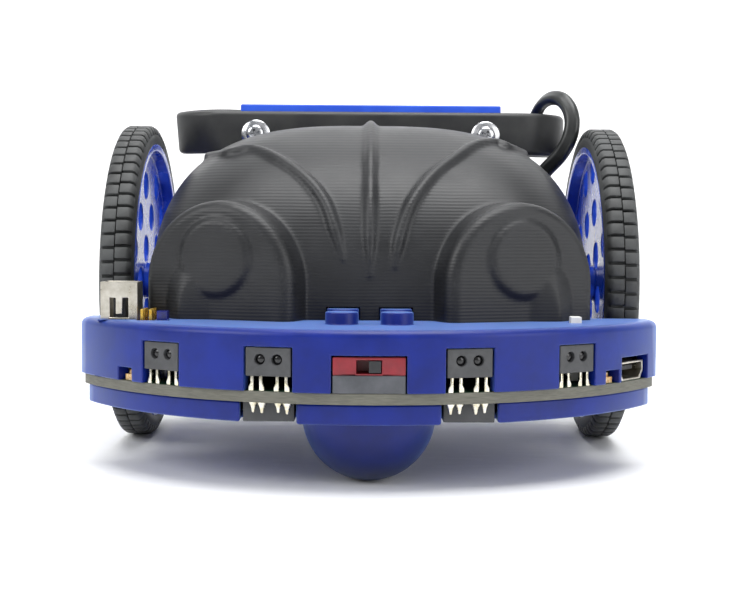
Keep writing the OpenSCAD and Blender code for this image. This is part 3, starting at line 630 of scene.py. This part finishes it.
# sizes in mm; b is the distance behind the front tip, and ridges are (x, b, z) points from the crown down
hood = {
    "front": 20.4, "crown": 52, "back": 61, "rise": 31.7, "lip": 8, "half": 36.3, "span": 40, "wall": 1.7,
    "podX": 23.3, "podY": 20.0, "podWidth": 25.0, "podHeight": 18.0, "podDepth": 16, "podTurn": 22,
    "podRound": 1.9, "discRadius": 5.9, "discHeight": 9.4, "discRaise": 0.75, "ridgeRadius": 0.95,
    "grain": 0.34,  # size of the cells in which the pieces are merged
    "ridges": [
        [(-27.6, 47, 48.9), (-23.5, 37, 48.8), (-19.2, 35.3, 49.5), (-14.8, 30.7, 47.8), (-10, 26.3, 44.5),
         (-7, 23.4, 40.9), (-5.2, 21.2, 36.2), (-4, 20.5, 31.8)],
        [(26.4, 49, 49.8), (22.9, 41, 50.4), (20.8, 41.3, 51.2), (17.2, 36.7, 50.6), (13.8, 31.4, 48.4),
         (9.9, 27.2, 45.4), (7.1, 24.1, 42), (5.6, 22.4, 39.1), (4.3, 20.8, 34.7), (3.7, 20.4, 30.8)],
        [(0, 60.9, 54.7), (0, 52, 54.7), (0, 46, 54.3), (0, 41, 53.2), (0, 35.8, 51.3), (0, 29.7, 47.7),
         (0, 23.6, 41.3), (0, 20.9, 35.1), (0, 20.4, 29.6)]],
}


def fromFront(x, b, z):
    # a point b mm behind the front tip, as a place in the frame
    return Vector((x * mm, frontY + b * mm, floorZ + z * mm))


def hoodBody(bm):
    # rounded slices that widen and rise from the front edge to the crown
    rings = []
    deck = (deckZ - floorZ) / mm
    for i in range(61):
        b = hood["front"] + (hood["back"] + 2 - hood["front"]) * (i / 60) ** 1.6
        rise = hood["lip"] + (hood["rise"] - hood["lip"]) * math.sqrt(
            max(0, 1 - max(0, (hood["crown"] - b) / (hood["crown"] - hood["front"])) ** 2))
        half = hood["half"] * (1 - (max(0, hood["crown"] - b) / hood["span"]) ** 3) ** (1 / 3)
        ring = [bm.verts.new(fromFront(half, b, deck - 3))]
        for k in range(65):
            c, s = math.cos(math.pi * k / 64), math.sin(math.pi * k / 64)
            across = math.copysign(abs(c) ** (2 / 3), c) * half
            ring.append(bm.verts.new(fromFront(across, b, deck + abs(s) ** (2 / 3) * rise)))
        ring.append(bm.verts.new(fromFront(-half, b, deck - 3)))
        rings.append(ring)
    bridge(bm, rings)


def hoodPod(bm, side):
    # a headlamp pod: an arched block with a rounded face and a raised disc
    deck = (deckZ - floorZ) / mm
    place = (Matrix.Translation(fromFront(side * hood["podX"], hood["podY"], deck))
             @ Matrix.Rotation(math.radians(side * hood["podTurn"]), 4, "Z"))
    radius, edge = hood["podWidth"] / 2, hood["podRound"]
    archZ = hood["podHeight"] - radius
    rings = []
    for inset, depth in [(edge * (1 - math.sin(math.radians(t))), edge * (1 - math.cos(math.radians(t))))
                         for t in range(0, 91, 10)] + [(0, hood["podDepth"])]:
        ring = [(radius - inset, -3), (radius - inset, 0), (radius - inset, 2.5)]
        reach = radius - inset
        ring += [(reach * math.cos(math.pi * k / 40), archZ + reach * math.sin(math.pi * k / 40))
                 for k in range(41)]
        ring += [(-radius + inset, 2.5), (-radius + inset, 0), (-radius + inset, -3)]
        rings.append([bm.verts.new(place @ Vector((x * mm, depth * mm, z * mm))) for x, z in ring])
    bridge(bm, rings)
    lift, r = hood["discRaise"], hood["discRadius"]
    disc = (place @ Matrix.Translation((0, 0, hood["discHeight"] * mm))
            @ Matrix.Rotation(math.radians(90), 4, "X"))
    lathe(bm, [(0, -2), (r, -2), (r, lift * 0.4), (r - 0.5, lift * 0.9), (r - 1.0, lift), (0, lift)], disc, 48)


def cutterBox(bm, low, high):
    corners = [bm.verts.new((x, y, z)) for z in (low.z, high.z) for x, y in
               ((low.x, low.y), (high.x, low.y), (high.x, high.y), (low.x, high.y))]
    for loop in ((3, 2, 1, 0), (4, 5, 6, 7), (0, 1, 5, 4), (1, 2, 6, 5), (2, 3, 7, 6), (3, 0, 4, 7)):
        bm.faces.new([corners[i] for i in loop])


def cutAway(name, mesh, cutter):
    # takes a cutter mesh out of a mesh
    tool = bpy.data.objects.new(name + "Cutter", cutter)
    bpy.context.scene.collection.objects.link(tool)
    result = applied(name, mesh, [("BOOLEAN", {"operation": "DIFFERENCE", "solver": "EXACT", "object": tool})])
    bpy.data.objects.remove(tool)
    return result


def makeHood():
    bm = bmesh.new()
    hoodBody(bm)
    for side in (-1, 1):
        hoodPod(bm, side)
    for ridge in hood["ridges"]:
        line = smoothLine([fromFront(*p) for p in ridge], 6)
        taper = [min(1.0, 0.35 + (len(line) - 1 - i) / 10) for i in range(len(line))]
        sweep(bm, line, roundProfile(hood["ridgeRadius"] * mm), Vector((1, 0, 0)), taper)
    mesh = applied("hood", toMesh("hoodSolid", bm),
                   [("REMESH", {"mode": "VOXEL", "voxel_size": hood["grain"] * mm}),
                    ("SMOOTH", {"factor": 0.5, "iterations": 5})])
    bm = bmesh.new()
    bm.from_mesh(mesh)
    low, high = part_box("hood")
    for point, normal in ((Vector((0, 0, deckZ)), (0, 0, -1)), (Vector((0, high.y, 0)), (0, 1, 0))):
        bmesh.ops.bisect_plane(bm, geom=bm.verts[:] + bm.edges[:] + bm.faces[:], plane_co=point,
                               plane_no=normal, clear_outer=True)
    mesh = toMesh("hoodSkin", bm)
    mesh = applied("hoodShell", mesh, [("SOLIDIFY", {"thickness": hood["wall"] * mm, "offset": -1})])
    cutter = bmesh.new()
    for side in (-1, 1):
        studX, footX = side * 4, side * hood["half"]
        # room for the stud under the front edge, then for the axle at the foot
        cutterBox(cutter, fromFront(studX - 2.6, hood["front"] - 2, 22),
                  fromFront(studX + 2.6, hood["front"] + 3, 25))
        cutterBox(cutter, fromFront(footX - 6, 55.5, 22), fromFront(footX + 6, 61.5, 30.5))
    mesh = cutAway("hoodBody", mesh, toMesh("hoodCutter", cutter))
    smoothFaces(mesh, 50)
    placePiece("hood", mesh, "printedBlackPla", "chassis", ("hood",))
    print("hood made,", len(mesh.polygons), "faces")


makeHood()


# radii and widths in mm; fill is the share of the pitch that a tread block takes
tread = {"blocks": 75, "fill": 0.78, "shift": 0.07, "carcass": 26.5, "rim": 24.3, "outer": 27.48,
         "halfWidth": 2.74}


def makeTyre(name, node, body):
    # a ring with two rows of blocks, one a little out of step with the other
    low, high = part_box(node)
    side = 1 if low.x > 0 else -1
    place = (Matrix.Translation(Vector(((low.x + high.x) / 2, axleY, axleZ)))
             @ Matrix.Rotation(math.radians(90), 4, "Y"))
    w = tread["halfWidth"]
    bm = bmesh.new()
    rim, carcass = tread["rim"], tread["carcass"]
    lathe(bm, [(rim, -w), (25.4, -w), (26.0, -w + 0.25), (carcass, -w + 0.7), (carcass, w - 0.7),
               (26.0, w - 0.25), (25.4, w), (rim, w), (rim, -w)], place, 154)
    outer = tread["outer"]
    section = [(0.06, 26.0), (0.06, outer), (1.7, outer), (2.15, 27.2), (2.45, 26.6), (2.6, 26.0)]
    for row in (-1, 1):
        for k in range(tread["blocks"]):
            middle = 2 * math.pi * (k + row * tread["shift"]) / tread["blocks"]
            half = math.pi * tread["fill"] / tread["blocks"]
            ends = []
            for end in (-1, 1):
                angle = middle + end * half
                c, s = math.cos(angle), math.sin(angle)
                ends.append([bm.verts.new(place @ Vector((r * mm * c, r * mm * s, row * side * a * mm)))
                             for a, r in section])
            bm.faces.new(ends[0])
            bm.faces.new(ends[1][::-1])
            for i in range(len(section)):
                j = (i + 1) % len(section)
                bm.faces.new((ends[0][j], ends[0][i], ends[1][i], ends[1][j]))
    mesh = toMesh(name, bm)
    mesh = applied(name, mesh, [("BEVEL", {"limit_method": "ANGLE", "angle_limit": math.radians(50),
                                           "width": 0.14 * mm, "segments": 2})])
    smoothFaces(mesh)
    placePiece(name, mesh, "mouldedTyreRubber", body, (node,))


for side in ("left", "right"):
    makeTyre(side + "Tyre", side + "_tyre", side + "_wheel")
    roundedNode(side + "_hub", side + "Hub", "glossyBlueAbs", side + "_wheel", "hub_plastic", 0.22, 3)
print("wheels made")


strap = {"corner": 0.9, "lift": 2.2, "thick": 2 * mm}  # lift is how far the back of the loop rises, in mm


def makeStrap():
    # one loop of rubber round the box, which rides up at the back, most at its left end
    low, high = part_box("rubber_strap")
    thick = strap["thick"]
    height = high.z - low.z
    radius = (high.y - low.y) / 2 - thick / 2
    straight = (high.x - low.x) / 2 - radius - thick / 2
    middle = (low + high) / 2
    line = []
    for k in range(25):
        line.append((-straight + 2 * straight * k / 24, -radius))
    for k in range(1, 24):
        turn = math.pi * k / 24
        line.append((straight + radius * math.sin(turn), -radius * math.cos(turn)))
    for k in range(25):
        line.append((straight - 2 * straight * k / 24, radius))
    for k in range(1, 24):
        turn = math.pi * k / 24
        line.append((-straight - radius * math.sin(turn), radius * math.cos(turn)))
    path = []
    for x, y in line:
        far = max(0.0, min(1.0, (y + radius) / (2 * radius)))
        leftward = max(0.0, min(1.0, (12 * mm - x) / (50 * mm)))
        lift = strap["lift"] * mm * far ** 2 * (0.35 + 0.65 * leftward)
        path.append(Vector((middle.x + x, middle.y + y, middle.z + lift)))
    r = strap["corner"] * mm
    profile = []
    for cx, cz, start in ((thick / 2 - r, height / 2 - r, 0), (-thick / 2 + r, height / 2 - r, 90),
                          (-thick / 2 + r, -height / 2 + r, 180), (thick / 2 - r, -height / 2 + r, 270)):
        for k in range(7):
            turn = math.radians(start + 15 * k)
            profile.append((cx + r * math.cos(turn), cz + r * math.sin(turn)))
    bm = bmesh.new()
    sweep(bm, path, profile, Vector((0, -1, 0)), None, True)
    mesh = toMesh("rubberStrap", bm)
    smoothFaces(mesh, 50)
    placePiece("rubberStrap", mesh, "strapRubber", "chassis", ("rubber_strap",))


def makeStrapScrews():
    # domed heads with a cross recess, each turned its own way, over dished washers
    washers, screws = bmesh.new(), bmesh.new()
    cutter = bmesh.new()
    for low, high in islands("strap_washers"):
        place = (Matrix.Translation(Vector(((low.x + high.x) / 2, high.y, (low.z + high.z) / 2)))
                 @ Matrix.Rotation(math.radians(90), 4, "X"))
        lathe(washers, [(1.1, 0), (2.55, 0), (2.65, 0.12), (2.62, 0.3), (2.45, 0.42), (2.2, 0.5), (1.9, 0.62),
                        (1.75, 0.66), (1.1, 0.66), (1.1, 0)], place, 56)
        lathe(screws, [(0, -3.6), (0.9, -3.4), (0.9, 0.5), (1.6, 0.5), (1.68, 0.72), (1.68, 1.15), (1.55, 1.5),
                       (1.25, 1.72), (0.7, 1.84), (0, 1.88)], place, 48)
        lean = place @ Matrix.Rotation(math.radians(18 if low.x < 0 else -27), 4, "Z")
        a, b = 0.95, 0.22
        cross = ((a, -b), (a, b), (b, b), (b, a), (-b, a), (-b, b), (-a, b), (-a, -b), (-b, -b), (-b, -a),
                 (b, -a), (b, -b))
        rings = [[cutter.verts.new(lean @ Vector((x * mm * grow, y * mm * grow, z * mm))) for x, y in cross]
                 for z, grow in ((1.15, 0.6), (2.4, 1.2))]
        bridge(cutter, rings)
    washerMesh = toMesh("strapWashers", washers)
    smoothFaces(washerMesh, 40)
    placePiece("strapWashers", washerMesh, "platedSteel", "chassis", ("strap_washers",))
    screwMesh = cutAway("strapScrews", toMesh("screwBlanks", screws), toMesh("crossCutter", cutter))
    smoothFaces(screwMesh, 35)
    placePiece("strapScrews", screwMesh, "platedSteel", "chassis", ("strap_screws",))


makeStrap()
makeStrapScrews()
roundedNode("battery_box", "batteryBox", "blueBoxAbs", "chassis", "box_plastic", 0.3, 3)
roundedNode("battery_lid", "batteryLid", "blueBoxAbs", "lid", "box_plastic", 0.15, 2)
print("battery box and strap made")


front = {"windowRadius": 0.72, "windowStep": 1.25, "leadWidth": 0.46, "leadThick": 0.4}  # in mm


def leadDirection(boxes):
    # the level direction from a sensor's first lead to its last
    first, last = (boxes[0][0] + boxes[0][1]) / 2, (boxes[-1][0] + boxes[-1][1]) / 2
    across = last - first
    across.z = 0
    return across.normalized()


def makeLeads(node, name):
    boxes = islands(node)
    half = len(boxes) // 2
    bm = bmesh.new()
    for group in (boxes[:half], boxes[half:]):
        across = leadDirection(group)
        turn = Matrix.Rotation(math.atan2(across.y, across.x), 4, "Z")
        for i, (low, high) in enumerate(group):
            w = front["leadWidth"] / 2
            tall = (high.z - low.z) / mm
            flare = -0.26 if i in (0, 2) else 0.26  # each pair of shoulders spreads above the board
            left, right = -w + min(0, flare), w + max(0, flare)
            outline = [(left, 0), (right, 0), (right, tall * 0.26), (w, tall * 0.5), (w, tall), (-w, tall),
                       (-w, tall * 0.5), (left, tall * 0.26)]
            foot = Vector(((low.x + high.x) / 2, (low.y + high.y) / 2, low.z))
            prism(bm, outline, front["leadThick"], Matrix.Translation(foot) @ turn)
    mesh = toMesh(name, bm)
    mesh = applied(name, mesh, [("BEVEL", {"limit_method": "ANGLE", "angle_limit": math.radians(40),
                                           "width": 0.07 * mm, "segments": 2})])
    smoothFaces(mesh)
    placePiece(name, mesh, "tinnedWire", "chassis", (node,))
    return [leadDirection(boxes[:half]), leadDirection(boxes[half:])]


def makeSolder():
    # a cone of solder round each lead's end, no two quite the same size
    bm = bmesh.new()
    for i, (low, high) in enumerate(islands("solder_joints")):
        place = Matrix.Translation(Vector(((low.x + high.x) / 2, (low.y + high.y) / 2, high.z)))
        place = place @ Matrix.Scale(1 + 0.06 * math.sin(i * 2.4), 4)
        lathe(bm, [(0, 0), (0.62, 0), (0.56, -0.22), (0.4, -0.55), (0.27, -0.95), (0.22, -1.35), (0.13, -1.48),
                   (0, -1.5)], place, 20)
    mesh = toMesh("solderJoints", bm)
    smoothFaces(mesh, 60)
    placePiece("solderJoints", mesh, "tinnedWire", "chassis", ("solder_joints",))


def makeSensor(node, across):
    # the body with its two round windows
    name = node.split("_")[0] + node.split("_")[1].title() + "Sensor"
    roundedNode(node, name, "sensorEpoxy", "chassis", "dark_plastic", 0.14, 2)
    low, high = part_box(node)
    middle = (low + high) / 2
    inward = Vector((-across.y, across.x, 0))
    bm = bmesh.new()
    for step in (-1, 1):
        point = (middle + across * step * front["windowStep"] * mm - inward * 1.75 * mm
                 + Vector((0, 0, 0.32 * mm)))
        place = (Matrix.Translation(point) @ Matrix.Rotation(math.atan2(across.y, across.x), 4, "Z")
                 @ Matrix.Rotation(math.radians(90), 4, "X"))
        r = front["windowRadius"]
        lathe(bm, [(0, -0.9), (r, -0.9), (r, 0), (0.5, 0.2), (0, 0.3)], place, 28)
    mesh = toMesh(name + "Windows", bm)
    smoothFaces(mesh, 40)
    placePiece(name + "Windows", mesh, "smokedLens", "chassis")


inner = makeLeads("inner_sensor_leads", "innerSensorLeads")
outer = makeLeads("outer_sensor_leads", "outerSensorLeads")
makeSolder()
for node, across in (("outer_left_sensor", outer[0]), ("inner_left_sensor", inner[0]),
                     ("inner_right_sensor", inner[1]), ("outer_right_sensor", outer[1])):
    makeSensor(node, across)
for node in ("left_line_sensor", "right_line_sensor"):
    roundedNode(node, node.split("_")[0] + "LineSensor", "sensorEpoxy", "chassis", "dark_plastic", 0.14, 2)
smallParts = [
    # node, piece, finish, body, slot, edge radius in mm, steps
    ("switch_cover", "switchCover", "redAbs", "chassis", "red_plastic", 0.16, 2),
    ("switch_base", "switchBase", "greyAbs", "chassis", "dark_plastic", 0.16, 2),
    ("switch_knob", "switchKnob", "blackNylon", "knob", "dark_plastic", 0.12, 2),
    ("micro_socket", "microSocket", "stampedTinSteel", "chassis", "steel", 0.12, 2),
    ("micro_socket_tongue", "microSocketTongue", "blackNylon", "chassis", "dark_plastic", 0.06, 1),
    ("pin_header_base", "pinHeaderBase", "blackNylon", "chassis", "dark_plastic", 0.1, 1),
    ("pin_header", "pinHeader", "goldPlate", "chassis", "gold_pins", 0.1, 2),
    ("cable_plug", "cablePlug", "blackNylon", "chassis", "dark_plastic", 0.2, 2),
    ("power_header", "powerHeader", "whiteNylon", "chassis", "white_plastic", 0.2, 2),
    ("left_indicator", "leftIndicator", "navyAcrylic", "chassis", "lens", 0.12, 2),
    ("right_indicator", "rightIndicator", "whiteNylon", "chassis", "lens", 0.12, 2),
    ("upright_socket", "uprightSocket", "stampedTinSteel", "chassis", "steel", 0.14, 2),
]
for row in smallParts:
    roundedNode(*row)
print("front parts made")


# everything else keeps its CAD shape and gets its finish
plain = {
    "shell_screws": "platedSteel", "left_status_light": "amberResin", "right_status_light": "amberResin",
    "upright_socket_insert": "blackNylon", "microcontroller": "sensorEpoxy",
    "motor_driver": "sensorEpoxy", "voltage_regulator": "sensorEpoxy", "crystal": "platedSteel",
    "capacitors": "motorCan", "left_motor": "motorCan", "right_motor": "motorCan",
    "left_gearbox": "brassPlate", "right_gearbox": "brassPlate", "left_bracket": "whiteNylon",
    "right_bracket": "whiteNylon", "bracket_screws": "platedSteel", "motor_leads": "redAbs",
    "left_shaft": "platedSteel", "right_shaft": "platedSteel", "lower_cell": "cellJacket",
    "middle_cell": "cellJacket", "upper_cell": "cellJacket", "battery_contacts": "stampedTinSteel",
    "box_screws": "platedSteel",
}
for node, look in plain.items():
    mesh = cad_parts[node].data
    mesh.materials.clear()
    mesh.materials.append(looks[look])
print("remaining nodes finished:", len(plain))
